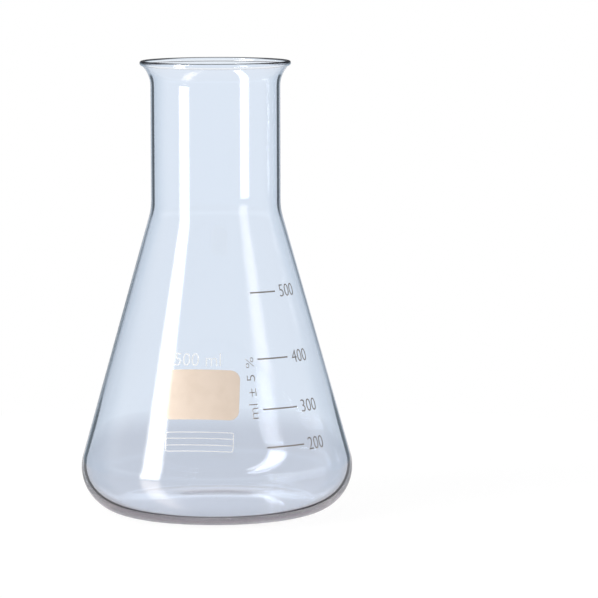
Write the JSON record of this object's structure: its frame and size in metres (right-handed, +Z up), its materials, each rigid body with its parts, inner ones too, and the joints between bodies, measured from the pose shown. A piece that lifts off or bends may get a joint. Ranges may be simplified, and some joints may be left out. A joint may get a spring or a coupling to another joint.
{
  "type": "erlenmeyer flask",
  "caption": "Wide-neck conical glass flask with a flat base, a rounded heel and a flared, beaded rim, printed with a volume scale and a writing patch.",
  "frame": {"origin": "centre of the base, on the plane of the ring the flask stands on", "axes": "+Z up along the flask's axis, towards the mouth; -Y through the middle of the writing patch; +X to the right when facing the patch, on the side of the scale"},
  "size_m": [0.105, 0.105, 0.1745],
  "materials": {
    "clear_glass": "clear, fire polished",
    "cream_enamel": "fired enamel, satin",
    "white_enamel": "fired enamel, satin",
    "brown_enamel": "fired enamel, satin"
  },
  "bodies": {
    "root": {"flask": "clear_glass", "writing_patch": "cream_enamel", "ruled_table": "white_enamel", "mark_200": "brown_enamel", "mark_300": "brown_enamel", "mark_400": "brown_enamel", "mark_500": "brown_enamel"}
  },
  "joints": []
}
